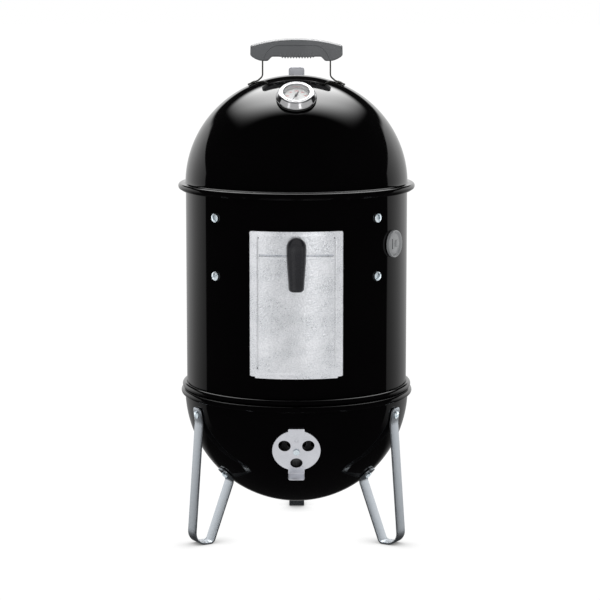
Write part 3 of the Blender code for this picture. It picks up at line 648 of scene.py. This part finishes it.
def add_vent(name, node, body, still_body, rivet, place, handle_end):
    """A domed disc with three holes, a folded tab at one end and a bent handle tab at the other."""

    def cap(radius, lift):
        """Height of the disc's spherical face, lifted off the shell, at this radius."""
        return math.sqrt((VENT_DOME_R + lift) ** 2 - radius**2) - VENT_DOME_R

    under = [(r, cap(r, 0.7)) for r in (0.0, 8, 16, 24, 31, 36)]
    over = [(r, cap(r, 2.1)) for r in (36.3, 31, 24, 16, 8, 0.0)]
    edge = [(36.7, cap(36.7, 0.8)), (37.0, cap(37, 1.2)), (37.0, cap(37, 1.7)), (36.8, cap(36.8, 2.0))]
    disc = make_object(name, *lathe(under + edge + over, 144), VENT_METAL, place)
    end = handle_end
    across = place @ Matrix.Rotation(math.radians(90), 4, "Z")
    folded = [(-r * end, cap(r, lift), 0) for r, lift in ((27.5, 1.9), (31.0, 2.5), (36.0, 2.6), (39.5, 2.3))]
    bent = [
        (28.0 * end, cap(28, 1.7), 0),
        (42.6 * end, cap(42.6, 2.0), 1.6),
        (45.0 * end, cap(41, 1.4) + (17.8 if end > 0 else 15.0), 0),
    ]
    for corners, thick, end_round in ((folded, 1.1, 1.5), (bent, 1.0, 4.6 if end > 0 else 3.2)):
        rings = strip_rings(resample(fillet(corners), 3.0), 25.0, thick, end_round, 0.3)
        carve(disc, make_object("cutter", *rings_mesh(rings), VENT_METAL, across), "UNION")
    carve(disc, vent_cutters(place))
    dimple = shifted(place, y=-20.5 * end, z=cap(20.5, 2.1))
    ring = lathe(arc((2.6, -0.1), 0.45, 0, 360, 8)[:-1], 24)
    carve(disc, make_object("cutter", *ring, VENT_METAL, dimple), "DIFFERENCE")
    keep(disc, body, [node])
    seat = shifted(place, z=2.5)
    add_screw(f"{name}_pin", seat, still_body, rivet, 5.0, 2.2, 3.0, 7.5)


for name, azimuth in BOWL_VENTS.items():
    place = dome_frame(BOWL, azimuth, BOWL_VENT_ANGLE)
    add_vent(f"{name}_disc", name, name, "bowl", f"{name}_rivet", place, -1)
lid_vent_place = dome_frame(LID, 180, LID_VENT_ANGLE)
add_vent("lid_vent_disc", "lid_vent", "lid_vent", "lid", "lid_vent_rivet", lid_vent_place, 1)

# ---------------------------------------------------------------- grates, charcoal chamber


ROD_SIDES = 12
RING_STEPS = 120
ROD_RADIUS = 1.75
ROD_PITCH = 12.5


def grate(name, node, ring_radius, z, material):
    """A round grate of rods: an outer ring and straight rods welded into it."""
    turns = [math.tau * k / RING_STEPS for k in range(RING_STEPS)]
    ring = [Vector((ring_radius * math.cos(a), ring_radius * math.sin(a), z)) for a in turns]
    rings = tube_rings([ring[-1]] + ring + [ring[0]], ROD_RADIUS, ROD_SIDES)[1:-1]
    verts = [p for r in rings for p in r]
    faces = []
    for i in range(RING_STEPS):
        here = i * ROD_SIDES
        there = ((i + 1) % RING_STEPS) * ROD_SIDES
        for k in range(ROD_SIDES):
            m = (k + 1) % ROD_SIDES
            faces.append((here + k, here + m, there + m, there + k))
    parts = [(verts, faces)]
    count = int(ring_radius / ROD_PITCH)
    for i in range(-count, count):
        x = (i + 0.5) * ROD_PITCH
        reach = math.sqrt(ring_radius**2 - x**2) - 0.6
        ends = [Vector((x, -reach, z)), Vector((x, 0, z)), Vector((x, reach, z))]
        parts.append(rings_mesh(tube_rings(ends, ROD_RADIUS * 0.86, ROD_SIDES)))
    obj = make_object(name, *merge(*parts), material)
    return keep(obj, node, [node])


grate("upper_grate_rods", "upper_cooking_grate", 167.2, 532.05, WIRE)
grate("lower_grate_rods", "lower_cooking_grate", 163.7, 443.05, WIRE)
grate("charcoal_grate_rods", "charcoal_grate", 131.4, 120.85, BARE_STEEL)


def chamber():
    """A perforated ring: cells with round holes, rolled up and given a thickness."""
    columns, rows, radius, low, height = 44, 6, 130.5, 122.9, 112.0
    cell_w, cell_h = math.tau / columns, height / rows
    hole = 5.6
    square = [(-1, -1), (0, -1), (1, -1), (1, 0), (1, 1), (0, 1), (-1, 1), (-1, 0)]
    verts, faces = [], []
    for i in range(columns):
        for j in range(rows):
            outer, inner = [], []
            for k in range(16):
                here, there = square[k // 2], square[(k // 2 + 1) % 8]
                mid = k % 2
                sx, sy = (here[0] + there[0] * mid) / (1 + mid), (here[1] + there[1] * mid) / (1 + mid)
                turn = math.atan2(sy * cell_h, sx * cell_w * radius)
                mid_a = cell_w * (i + 0.5)
                mid_z = low + cell_h * (j + 0.5)
                outer.append((cell_w * (i + 0.5 + sx / 2), low + cell_h * (j + 0.5 + sy / 2)))
                inner.append((mid_a + hole * math.cos(turn) / radius, mid_z + hole * math.sin(turn)))
            base = len(verts)
            for a, z in outer + inner:
                verts.append((radius * math.cos(a), radius * math.sin(a), z))
            for k in range(16):
                m = (k + 1) % 16
                faces.append((base + k, base + m, base + 16 + m, base + 16 + k))
    obj = make_object("chamber_ring", verts, faces, BARE_STEEL)
    sheet = obj.modifiers.new("sheet", "SOLIDIFY")
    sheet.thickness = 1.0 * MM
    sheet.offset = 0.0
    bake_modifiers(obj)
    return keep(obj, "charcoal_chamber", ["charcoal_chamber"])


chamber()

# ---------------------------------------------------------------- fuel door


def door_half_width(z):
    """Half the door's width along its arc at height z: a narrower lip below, round corners above."""
    full, top, low, corner = 72.8, 503.0, 281.0, 2.6
    if z < low:
        return 64.6 - max(0.0, 279.3 - z) * 1.2
    near = max(z - (top - corner), (low + corner) - z, 0.0)
    return full - corner + math.sqrt(max(0.0, corner**2 - near**2))


def bell(x, center, width):
    return math.exp(-(((x - center) / width) ** 2))


def door_height(s, z):
    """How far the door's face stands out at arc place s and height z."""
    inside = min(58.0 - abs(s), z - 288.0, 497.0 - z)
    raised = 0.6 * smoothstep(inside, -3.2, 0.8)
    crease = -0.40 * bell(abs(s), 60.4, 0.8) if 293 < z < 493 else 0.0
    fold = 0.0
    if abs(s) < 57.0:
        fold = -2.0 * bell(z, 467.0, 0.9) + 0.6 * bell(z, 463.4, 1.3)
    rough = smoothstep(min(58.0 - abs(s), z - 284.0, 500.0 - z), -3.0, 2.5)
    rough *= smoothstep(abs(z - 465.5), 2.5, 5.0)
    u, v = (s + z) * 0.7071, (z - s) * 0.7071
    grain = noise.noise(Vector((u * 0.26, v * 0.52, 3.1)))
    grain += 0.7 * noise.noise(Vector((s * 0.46, z * 0.46, 8.7)))
    wave = noise.noise(Vector((s * 0.045, z * 0.02, 1.3)))
    return raised + crease + fold + (0.015 + 0.17 * rough) * grain + 0.05 * wave * rough


def fuel_door():
    columns, step = 236, 0.62
    zs = [278.5, 278.8, 279.3, 280.0, 280.6, 280.99, 281.0, 281.2, 281.6, 282.1, 282.8, 283.6]
    while zs[-1] + step < 500.4:
        zs.append(zs[-1] + step)
    zs += [500.4, 501.2, 501.9, 502.4, 502.8, 503.0]
    verts, faces = [], []
    for back in (False, True):
        for z in zs:
            half = door_half_width(z)
            for i in range(columns + 1):
                s = half * (2 * i / columns - 1)
                edge = min(half - abs(s), 503.0 - z, z - 278.5)
                lift = door_height(s, z) if not back else door_height(s, z) * 0.5 - 1.6
                lift -= 0.35 * (1 - smoothstep(edge, 0.0, 0.9)) * (1 if not back else -1)
                a, r = s / DOOR_R, DOOR_R + lift - (0.35 if back else 0.0)
                verts.append((r * math.sin(a), -r * math.cos(a), z))
    row, layer = columns + 1, (columns + 1) * len(zs)
    for j in range(len(zs) - 1):
        for i in range(columns):
            a = j * row + i
            faces.append((a, a + 1, a + 1 + row, a + row))
            faces.append((a + layer, a + row + layer, a + 1 + row + layer, a + 1 + layer))
    for j in range(len(zs) - 1):
        for a in (j * row, j * row + columns):
            faces.append((a, a + row, a + row + layer, a + layer))
    for i in range(columns):
        for a in (i, (len(zs) - 1) * row + i):
            faces.append((a, a + 1, a + 1 + layer, a + layer))
    obj = make_object("fuel_door_sheet", verts, faces, DOOR_METAL, None, 50)
    dots = []
    for s, z in ((-58.5, 493), (58.5, 493), (-60.5, 294)):
        dots.append(cylinder_part(outward_frame(math.degrees(s / DOOR_R), DOOR_R, z), 1.1, -3, 4, 16))
    carve(obj, make_object("cutter", *merge(*dots), DOOR_METAL), "DIFFERENCE", 50)
    return keep(obj, "fuel_door", ["fuel_door"])


fuel_door()

# ---------------------------------------------------------------- door lever


def lever():
    """A lofted lever: a full round top, a dished front between two rounded shoulders, a narrower end."""
    back = -181.2
    bottom = 414.0
    rings = []
    zs = [bottom + 0.02, bottom + 0.3, bottom + 0.9, bottom + 1.8, bottom + 2.8, bottom + 4.0]
    zs += [bottom + 4.0 + 2.0 * k for k in range(1, 25)]
    zs += [466 + 1.2 * k for k in range(1, 21)] + [491.6, 492.8, 493.7, 494.4, 494.8, 494.97]
    for z in zs:
        if z > PIVOT_Z:
            half = math.sqrt(max(0.05, 15.0**2 - (z - PIVOT_Z) ** 2))
        else:
            half = 11.5 + 3.5 * smoothstep(z, 405.0, 474.0)
        near = max(0.0, bottom + 4.0 - z)
        half -= 4.0 - math.sqrt(max(0.0, 16.0 - near**2))
        depth = 15.3 - 9.5 * smoothstep(z, 474.0, 500.0) ** 1.3
        depth -= 2.2 * (1 - smoothstep(z, bottom - 1.0, bottom + 3.5))
        depth *= min(1.0, half / 5.0) ** 0.5
        dish = 1.5 * smoothstep(z, 412.0, 422.0) * (1 - smoothstep(z, 476.0, 489.0))
        ring = []
        for k in range(33):
            x = math.cos(math.pi * k / 32)
            crown = (1 - abs(x) ** 4.5) ** (1 / 2.6)
            hollow = dish * max(0.0, 1 - (x / 0.62) ** 2) ** 1.2
            ring.append((x * half, back - depth * crown + hollow, z))
        ring += [(x * half, back, z) for x in (-0.9, -0.45, 0.0, 0.45, 0.9)]
        rings.append(ring)
    obj = make_object("latch_lever", *rings_mesh(rings), LEVER, None, 50)
    return keep(obj, "latch", ["door_lever"])


lever()

# ---------------------------------------------------------------- handle


RIB_PITCH = 4.4
HANDLE_LEG_X = 38
BRACKET_ANGLE = 67.4


def grip():
    """The grip, lofted from left to right: an arched top, lobes over the bracket's legs, ribs underneath."""
    end = 71.6

    def top_z(x):
        return 785.6 - 10.6 * (abs(x) / end) ** 2.15

    def rib_zone(x):
        return smoothstep(x, -27.0, -20.0) * (1 - smoothstep(x, 22.0, 30.0))

    def low_z(x):
        a = abs(x)
        rise = 6.6 * (1 - smoothstep(a, 37.0, 46.0)) + 9.0 * (max(0.0, a - 50.0) / 22.0) ** 2.2
        ribs = -(1.5 + 1.2 * math.cos(math.tau * x / RIB_PITCH)) * rib_zone(x)
        return 751.0 + rise + ribs

    def contour(x):
        """The top of the recessed zone."""
        past = min(1.0, max(0.0, (abs(x) - 28.0) / 23.3))
        return 750.0 + 25.2 * (1 - past**1.8) ** (1 / 1.8)

    rings = []
    count = 420
    faces = 56
    for i in range(count + 1):
        t = -1 + 2 * i / count
        x = end * math.sin(t * math.pi / 2) * 0.55 + end * t * 0.45
        to_end = end + 1.1 - abs(x)
        shrink = 1 - math.sqrt(max(0.0, 1 - max(0.0, 1 - to_end / 4.0) ** 2))
        half = 14.0 - 4.0 * shrink
        high, low = top_z(x) - 2.4 * shrink, low_z(x) + 2.0 * shrink
        ring = []
        for side in (-1, 1):
            upright = [(side * half, low + 2.4 + (high - low - 10.4) * k / faces) for k in range(faces + 1)]
            top = [(side * y, z) for y, z in arc((half - 8.0, high - 8.0), 8.0, 0, 86, 16)]
            under = [(side * y, z) for y, z in arc((half - 2.4, low + 2.4), 2.4, -90, -10, 8)]
            outline = under + upright + top
            ring += outline if side < 0 else outline[::-1]
        lean = 0.0155 * (1 if x > 0 else -1) * smoothstep(abs(x), 60.0, 71.0)
        placed = []
        for y, z in ring:
            inside = min(contour(x) - z, 51.0 - abs(x))
            sunk = 0.9 * smoothstep(inside, -0.4, 0.4)
            ribbed = rib_zone(x) * (1 - smoothstep(z, low + 2.0, low + 10.0))
            sunk += 0.9 * (0.5 - 0.5 * math.cos(math.tau * x / RIB_PITCH)) * ribbed
            if abs(y) > half - 4.0:
                y -= math.copysign(sunk, y)
            placed.append((x + lean * (top_z(x) - z), y, z))
        rings.append(placed)
    obj = make_object("handle_grip_body", *rings_mesh(rings), GRIP, None, 60)
    holes = []
    for x in (-HANDLE_LEG_X, HANDLE_LEG_X):
        holes.append(cylinder_part(Matrix.Translation((x, 0, 0)), 5.2, 745, 760.8, 40))
    carve(obj, make_object("cutter", *merge(*holes), GRIP), "DIFFERENCE", 60)
    return keep(obj, "lid", ["handle_grip"])


def bracket():
    lift = GAP + 1.1
    place = shifted(dome_frame(LID, 90, BRACKET_ANGLE), z=lift)
    spot = Vector((place.translation.x, place.translation.z))
    slope = Vector((place.to_3x3().col[1].x, place.to_3x3().col[1].z))
    foot, heel = spot - slope * 9.0, spot + slope * 8.0
    right = [(*foot, 0), (*heel, 3.0), (52.9, spot.y + 9.5, 8.0), (52.8, 763.0, 2.4)]
    corners = [(-x, z, r) for x, z, r in right] + right[::-1]
    obj = strip_object("handle_strap", corners, 18.0, 2.2, 3.0, DARK_STEEL, None, 0.5)
    return keep(obj, "lid", ["handle_bracket"])


grip()
bracket()
for number, side in enumerate((-1, 1)):
    index = number + 1
    seat = shifted(dome_frame(LID, 90 * side, BRACKET_ANGLE), z=2.9)
    bolt = add_screw(f"bracket_bolt_{index}", seat, "lid", f"bracket_screw_{index}", 3.6, 0.5, 2.4, 9.5)
    bolt.data.materials[0] = DARK_STEEL
    down = Matrix.Translation((HANDLE_LEG_X * side, 0, 760.8)) @ Matrix.Rotation(math.pi, 4, "X")
    add_screw(f"grip_bolt_{index}", down, "lid", f"handle_screw_{index}", 3.8, 2.6, 1.9, 13.5, 30)

# ---------------------------------------------------------------- thermometer

gauge = dome_frame(LID, 0, 54.8)


def gauge_piece(name, profile, material, node):
    obj = make_object(name, *lathe(profile, 128), material, gauge, 30)
    return keep(obj, "lid", [node])


gasket = [(12.0, -0.2), (12.0, 0.9), (30.9, 0.9), (31.2, 0.6), (31.2, -0.2), (30.8, -0.6), (12.4, -0.6)]
gauge_piece("gauge_gasket", gasket, RUBBER, "thermometer_gasket")
bezel = [(3.6, 1.2), (30.7, 1.2)] + arc((30.4, 1.9), 0.6, -60, 0, 4) + [(31.0, 3.4), (30.8, 3.9), (30.2, 4.3)]
bezel += [(27.0, 10.6), (26.4, 11.0), (25.6, 10.9)] + arc((24.7, 11.9), 1.0, -20, 150, 12)
bezel += [(23.2, 11.7)] + [(21.7 + 1.5 * x, 11.7 + 1.3 * z) for x, z in arc((0, 0), 1.0, 0, 180, 16)]
bezel += [(20.0, 10.5), (20.0, 2.2), (3.6, 2.2)]
gauge_piece("gauge_bezel", bezel, CHROME, "thermometer_bezel")
face = [(0.0, 2.5), (19.6, 2.5), (19.6, 3.4), (19.3, 3.6), (0.0, 3.6)]
gauge_piece("gauge_face", face, DIAL, "thermometer_dial")
lens = [(0.0, 9.4), (19.4, 9.4), (19.6, 9.6), (19.6, 10.2), (19.2, 10.4)]
lens_turns = [math.radians(9 * k) for k in range(1, 10)]
lens += [(19.2 * math.cos(a), 10.4 + 0.2 * math.sin(a)) for a in lens_turns] + [(0.0, 10.6)]
gauge_piece("gauge_lens", lens, LENS, "thermometer_lens")


DIAL_TOP = 3.6
DIAL_START = -134.0


def gauge_marks():
    """The dial's ticks and its numbers."""
    ticks = []
    for k in range(61):
        turn = math.radians(DIAL_START + 268.0 * k / 60)
        long = k % 5 == 0
        low, high = (16.4 if long else 17.2), 18.3
        half = 0.22 if long else 0.12
        part = box_part((-half, low, DIAL_TOP), (half, high, 3.68))
        spin = Matrix.Rotation(-turn, 4, "Z")
        ticks.append(([spin @ Vector(v) for v in part[0]], part[1]))
    obj = make_object("gauge_ticks", *merge(*ticks), BLACK_INK, gauge)
    keep(obj, "lid", ())
    for k in range(7):
        turn = math.radians(DIAL_START + 41.5 * k + 9.5)
        letters = bpy.data.curves.new("numeral", "FONT")
        letters.body = str(50 + 50 * k)
        letters.size = 3.4
        letters.align_x = "CENTER"
        letters.align_y = "CENTER"
        letters.extrude = 0.04
        letters.offset = 0.05
        letters.resolution_u = 3
        source = bpy.data.objects.new("numeral", letters)
        bpy.context.scene.collection.objects.link(source)
        bpy.context.view_layer.update()
        graph = bpy.context.evaluated_depsgraph_get()
        mesh = bpy.data.meshes.new_from_object(source.evaluated_get(graph))
        bpy.data.objects.remove(source)
        bm = bmesh.new()
        bm.from_mesh(mesh)
        bpy.data.meshes.remove(mesh)
        spot = (14.0 * math.sin(turn), 14.0 * math.cos(turn), 3.66)
        obj = from_bmesh(f"gauge_numeral_{k + 1}", bm, RED_INK, gauge @ Matrix.Translation(spot))
        keep(obj, "lid", ())


gauge_marks()


def needle():
    outline = [(0.0, 14.5), (1.35, 3.0), (1.6, 0.0), (1.35, -3.0), (0.55, -9.5)]
    outline += [(-0.55, -9.5), (-1.35, -3.0), (-1.6, 0.0), (-1.35, 3.0)]
    levels = ((7.2, 0.96), (7.35, 1.0), (7.75, 1.0), (7.9, 0.93))
    rings = [[(x * k, y * k, z) for x, y in outline] for z, k in levels]
    hub = lathe([(0.0, 3.7), (0.9, 3.7), (0.9, 7.2), (2.3, 7.2), (2.3, 8.5), (1.9, 9.0), (0.0, 9.1)], 32)
    turned = gauge @ Matrix.Rotation(math.radians(155), 4, "Z")
    obj = make_object("gauge_needle", *merge(rings_mesh(rings), hub), BLACK_INK, turned)
    return keep(obj, "needle", ["thermometer_needle"])


needle()

# ---------------------------------------------------------------- probe grommet


def grommet():
    """A silicone plug: a rim with a raised lip round a shallow dish, a slot and a round nub."""
    profile = [(0.0, -8.5), (18.6, -8.5), (19.0, -8.1), (19.0, -4.9), (18.6, -4.5), (16.5, -4.5), (16.5, 0.1)]
    profile += [(20.7, 0.1), (21.0, 0.4), (21.0, 3.9)] + arc((19.8, 3.8), 1.2, 0, 130, 8)
    profile += [(18.0, 3.6), (17.6, 2.6), (16.9, 2.2), (16.0, 2.4), (14.0, 2.9), (0.0, 3.2)]
    obj = make_object("probe_plug", *lathe(profile, 96), SILICONE, probe_place, 40)
    slit = make_object("cutter", *box_part((-8.6, -8.0, 1.0), (-5.4, 8.0, 6.0)), SILICONE, probe_place)
    carve(obj, slit, "DIFFERENCE", 40)
    turns = [math.radians(10 * k) for k in range(9)]
    nub = [(0.0, 2.0), (5.6, 2.0), (5.6, 3.6)]
    nub += [(5.2 * math.cos(a), 3.8 + 1.3 * math.sin(a)) for a in turns] + [(0.0, 5.0)]
    button = make_object("cutter", *lathe(nub, 48), SILICONE, shifted(probe_place, x=5.2))
    carve(obj, button, "UNION", 40)
    return keep(obj, "middle", ["probe_grommet"])


grommet()

# ---------------------------------------------------------------- CAD nodes that are kept

KEPT = {
    "leg_nut": ZINC,
    "latch_shaft": ZINC,
    "latch_bar": ZINC,
    "thermometer_stem": ZINC,
    "grate_strap": BARE_STEEL,
}
for name, node in frame["nodes"].items():
    for start, material in KEPT.items():
        if name.startswith(start):
            node.data.materials.clear()
            node.data.materials.append(material)

# ---------------------------------------------------------------- floor, light and camera


def floor():
    """A pale floor. It glows white, and its glow carries a painted contact shadow: it darkens with ambient
    occlusion close to what stands on it.
    """
    bm = bmesh.new()
    bmesh.ops.create_grid(bm, x_segments=1, y_segments=1, size=30.0)
    mesh = bpy.data.meshes.new("floor")
    bm.to_mesh(mesh)
    bm.free()
    obj = bpy.data.objects.new("floor", mesh)
    obj.location.z = -0.0002
    bpy.context.scene.collection.objects.link(obj)
    material, g, shader = new_material("floor_white")
    # painted contact shadow: ambient occlusion within 5 cm dims the floor's white glow next to anything
    # standing on it
    near = g.node("ShaderNodeAmbientOcclusion", samples=16)
    near.inputs["Distance"].default_value = 0.05
    glow_with_painted_shadow = g.ramp(near.outputs["AO"], 0.0, 0.96, 0.10, 1.03, "LINEAR")
    tone = g.node("ShaderNodeCombineColor")
    for socket in tone.inputs:
        g.put(glow_with_painted_shadow, socket)
    shader["Base Color"].default_value = (0.0, 0.0, 0.0, 1.0)
    shader["Specular IOR Level"].default_value = 0.0
    shader["Emission Strength"].default_value = 1.0
    g.put(tone.outputs[0], shader["Emission Color"])
    mesh.materials.append(material)
    obj.visible_glossy = False
    obj.visible_shadow = False


floor()


def studio():
    """White for the camera, even for diffuse light.

    Gloss sees a dark studio with a big softbox above and two strips behind the sides.
    """
    world = bpy.data.worlds.new("studio")
    world.use_nodes = True
    tree = world.node_tree
    tree.nodes.clear()
    g = Graph(tree)
    direction = g.node("ShaderNodeTexCoord").outputs["Generated"]
    split = g.node("ShaderNodeSeparateXYZ")
    g.put(direction, split.inputs[0])
    x, y, z = split.outputs
    side = g.math("ABSOLUTE", x)
    above = g.math("MAXIMUM", z, 0.02)
    u = g.math("DIVIDE", side, above)
    v = g.math("DIVIDE", y, above)
    uu = g.math("MULTIPLY", u, u)
    front = g.ramp(v, g.math("MULTIPLY_ADD", u, 0.08, -0.12), g.math("MULTIPLY_ADD", uu, 0.75, 0.30))
    box = g.math("MULTIPLY", g.ramp(u, 0.10, 1.09, 8.0, 0.0), g.ramp(v, 1.15, 1.72, 1.0, 0.0))
    box = g.math("MULTIPLY", box, g.math("MULTIPLY", front, g.ramp(z, 0.02, 0.1)))
    azimuth = g.math("MULTIPLY", g.math("ARCTAN2", side, g.math("MULTIPLY", y, -1.0)), 180 / math.pi)
    height = g.math("MULTIPLY", g.math("ARCSINE", z), 180 / math.pi)
    rise = g.math("MAXIMUM", g.math("SUBTRACT", height, 4.5), 0.0)
    slanted = g.math("MULTIPLY_ADD", rise, 0.8, 108.2)
    edge = g.math("MULTIPLY_ADD", g.math("MULTIPLY", rise, rise), 0.05, slanted)
    past = g.math("SUBTRACT", azimuth, edge)
    strip = g.math("MULTIPLY", g.ramp(past, -0.6, 0.6), g.ramp(azimuth, 107.0, 141.0, 0.41, 0.90, "LINEAR"))
    strip = g.math("MULTIPLY", strip, g.ramp(height, -12.0, -4.0, 0.36, 0.80, "LINEAR"))
    strip = g.math("MULTIPLY", strip, g.ramp(height, -4.0, 9.0, 1.0, 1.30, "LINEAR"))
    ceiling = g.ramp(azimuth, 141.0, 159.0, 20.8, 14.5, "LINEAR")
    strip = g.math("MULTIPLY", strip, g.ramp(g.math("SUBTRACT", height, ceiling), -2.5, 1.5, 1.0, 0.0))
    strip = g.math("MULTIPLY", strip, g.ramp(height, -30.0, -13.0))
    glossy = g.math("ADD", g.math("ADD", box, 0.012), strip)
    path = g.node("ShaderNodeLightPath")
    plain = g.math("MULTIPLY_ADD", path.outputs["Is Diffuse Ray"], -0.35, 1.0)
    seen = g.node("ShaderNodeMix", data_type="FLOAT")
    g.put(path.outputs["Is Glossy Ray"], seen.inputs[0])
    g.put(plain, seen.inputs[2])
    g.put(glossy, seen.inputs[3])
    background = g.node("ShaderNodeBackground")
    background.inputs["Color"].default_value = (1.0, 1.0, 1.0, 1.0)
    g.put(seen.outputs[0], background.inputs["Strength"])
    output = g.node("ShaderNodeOutputWorld")
    g.put(background.outputs[0], output.inputs[0])
    bpy.context.scene.world = world


studio()


def key_lights():
    """Soft boxes all round that light everything but the enamel, which only mirrors the dark studio.

    The bounce card under the smoker doesn't light the legs either.
    """
    lit = bpy.data.collections.new("lit_pieces")
    for obj in bpy.context.scene.objects:
        if obj.type != "MESH" or obj.name == "floor":
            continue
        if ENAMEL.name not in [m.name for m in obj.data.materials if m]:
            lit.objects.link(obj)
    from_below = bpy.data.collections.new("lit_from_below")
    for obj in lit.objects:
        if obj.data.materials[0] != STRAP_METAL:
            from_below.objects.link(obj)
    for name, azimuth, elevation, distance, width, height, radiance in (
        ("panel_front", 0, 12, 2.6, 2.4, 1.9, 0.66),
        ("panel_front_right", 16, 14, 2.4, 0.42, 1.9, 1.30),
        ("panel_front_left", -34, 14, 2.4, 0.36, 1.9, 0.90),
        ("panel_left", -54, 12, 2.4, 2.5, 1.9, 0.66),
        ("panel_right", 54, 12, 2.4, 2.5, 1.9, 0.66),
        ("panel_high_front", 0, 54, 2.4, 1.8, 1.3, 0.85),
        ("panel_back_left", -125, 6, 2.4, 2.2, 2.2, 0.95),
        ("panel_back_right", 125, 6, 2.4, 2.2, 2.2, 0.95),
        ("panel_back", 180, 12, 2.4, 2.2, 1.9, 0.50),
        ("bounce_card", 0, -90, 0.50, 5.0, 5.0, 0.80),
    ):
        data = bpy.data.lights.new(name, "AREA")
        data.shape = "RECTANGLE"
        data.size = width
        data.size_y = height
        data.energy = radiance * math.pi * width * height
        lamp = bpy.data.objects.new(name, data)
        bpy.context.scene.collection.objects.link(lamp)
        a, e = math.radians(azimuth), math.radians(elevation)
        outward = Vector((math.cos(e) * math.sin(a), -math.cos(e) * math.cos(a), math.sin(e)))
        lamp.location = Vector((0, 0, 0.40)) + outward * distance
        lamp.rotation_euler = outward.to_track_quat("Z", "Y").to_euler()
        lamp.light_linking.receiver_collection = from_below if elevation < 0 else lit
        lamp.visible_camera = False


key_lights()

scene = bpy.context.scene
scene.view_settings.view_transform = "Standard"
scene.view_settings.look = "None"

camera_data = bpy.data.cameras.new("camera")
camera_data.sensor_width = 36.0
camera_data.lens = 133.96
camera = bpy.data.objects.new("camera", camera_data)
scene.collection.objects.link(camera)
camera.location = (0.0055, -3.5, 0.8996)
camera.rotation_euler = (math.radians(90 - 8.548), 0, 0)
scene.camera = camera
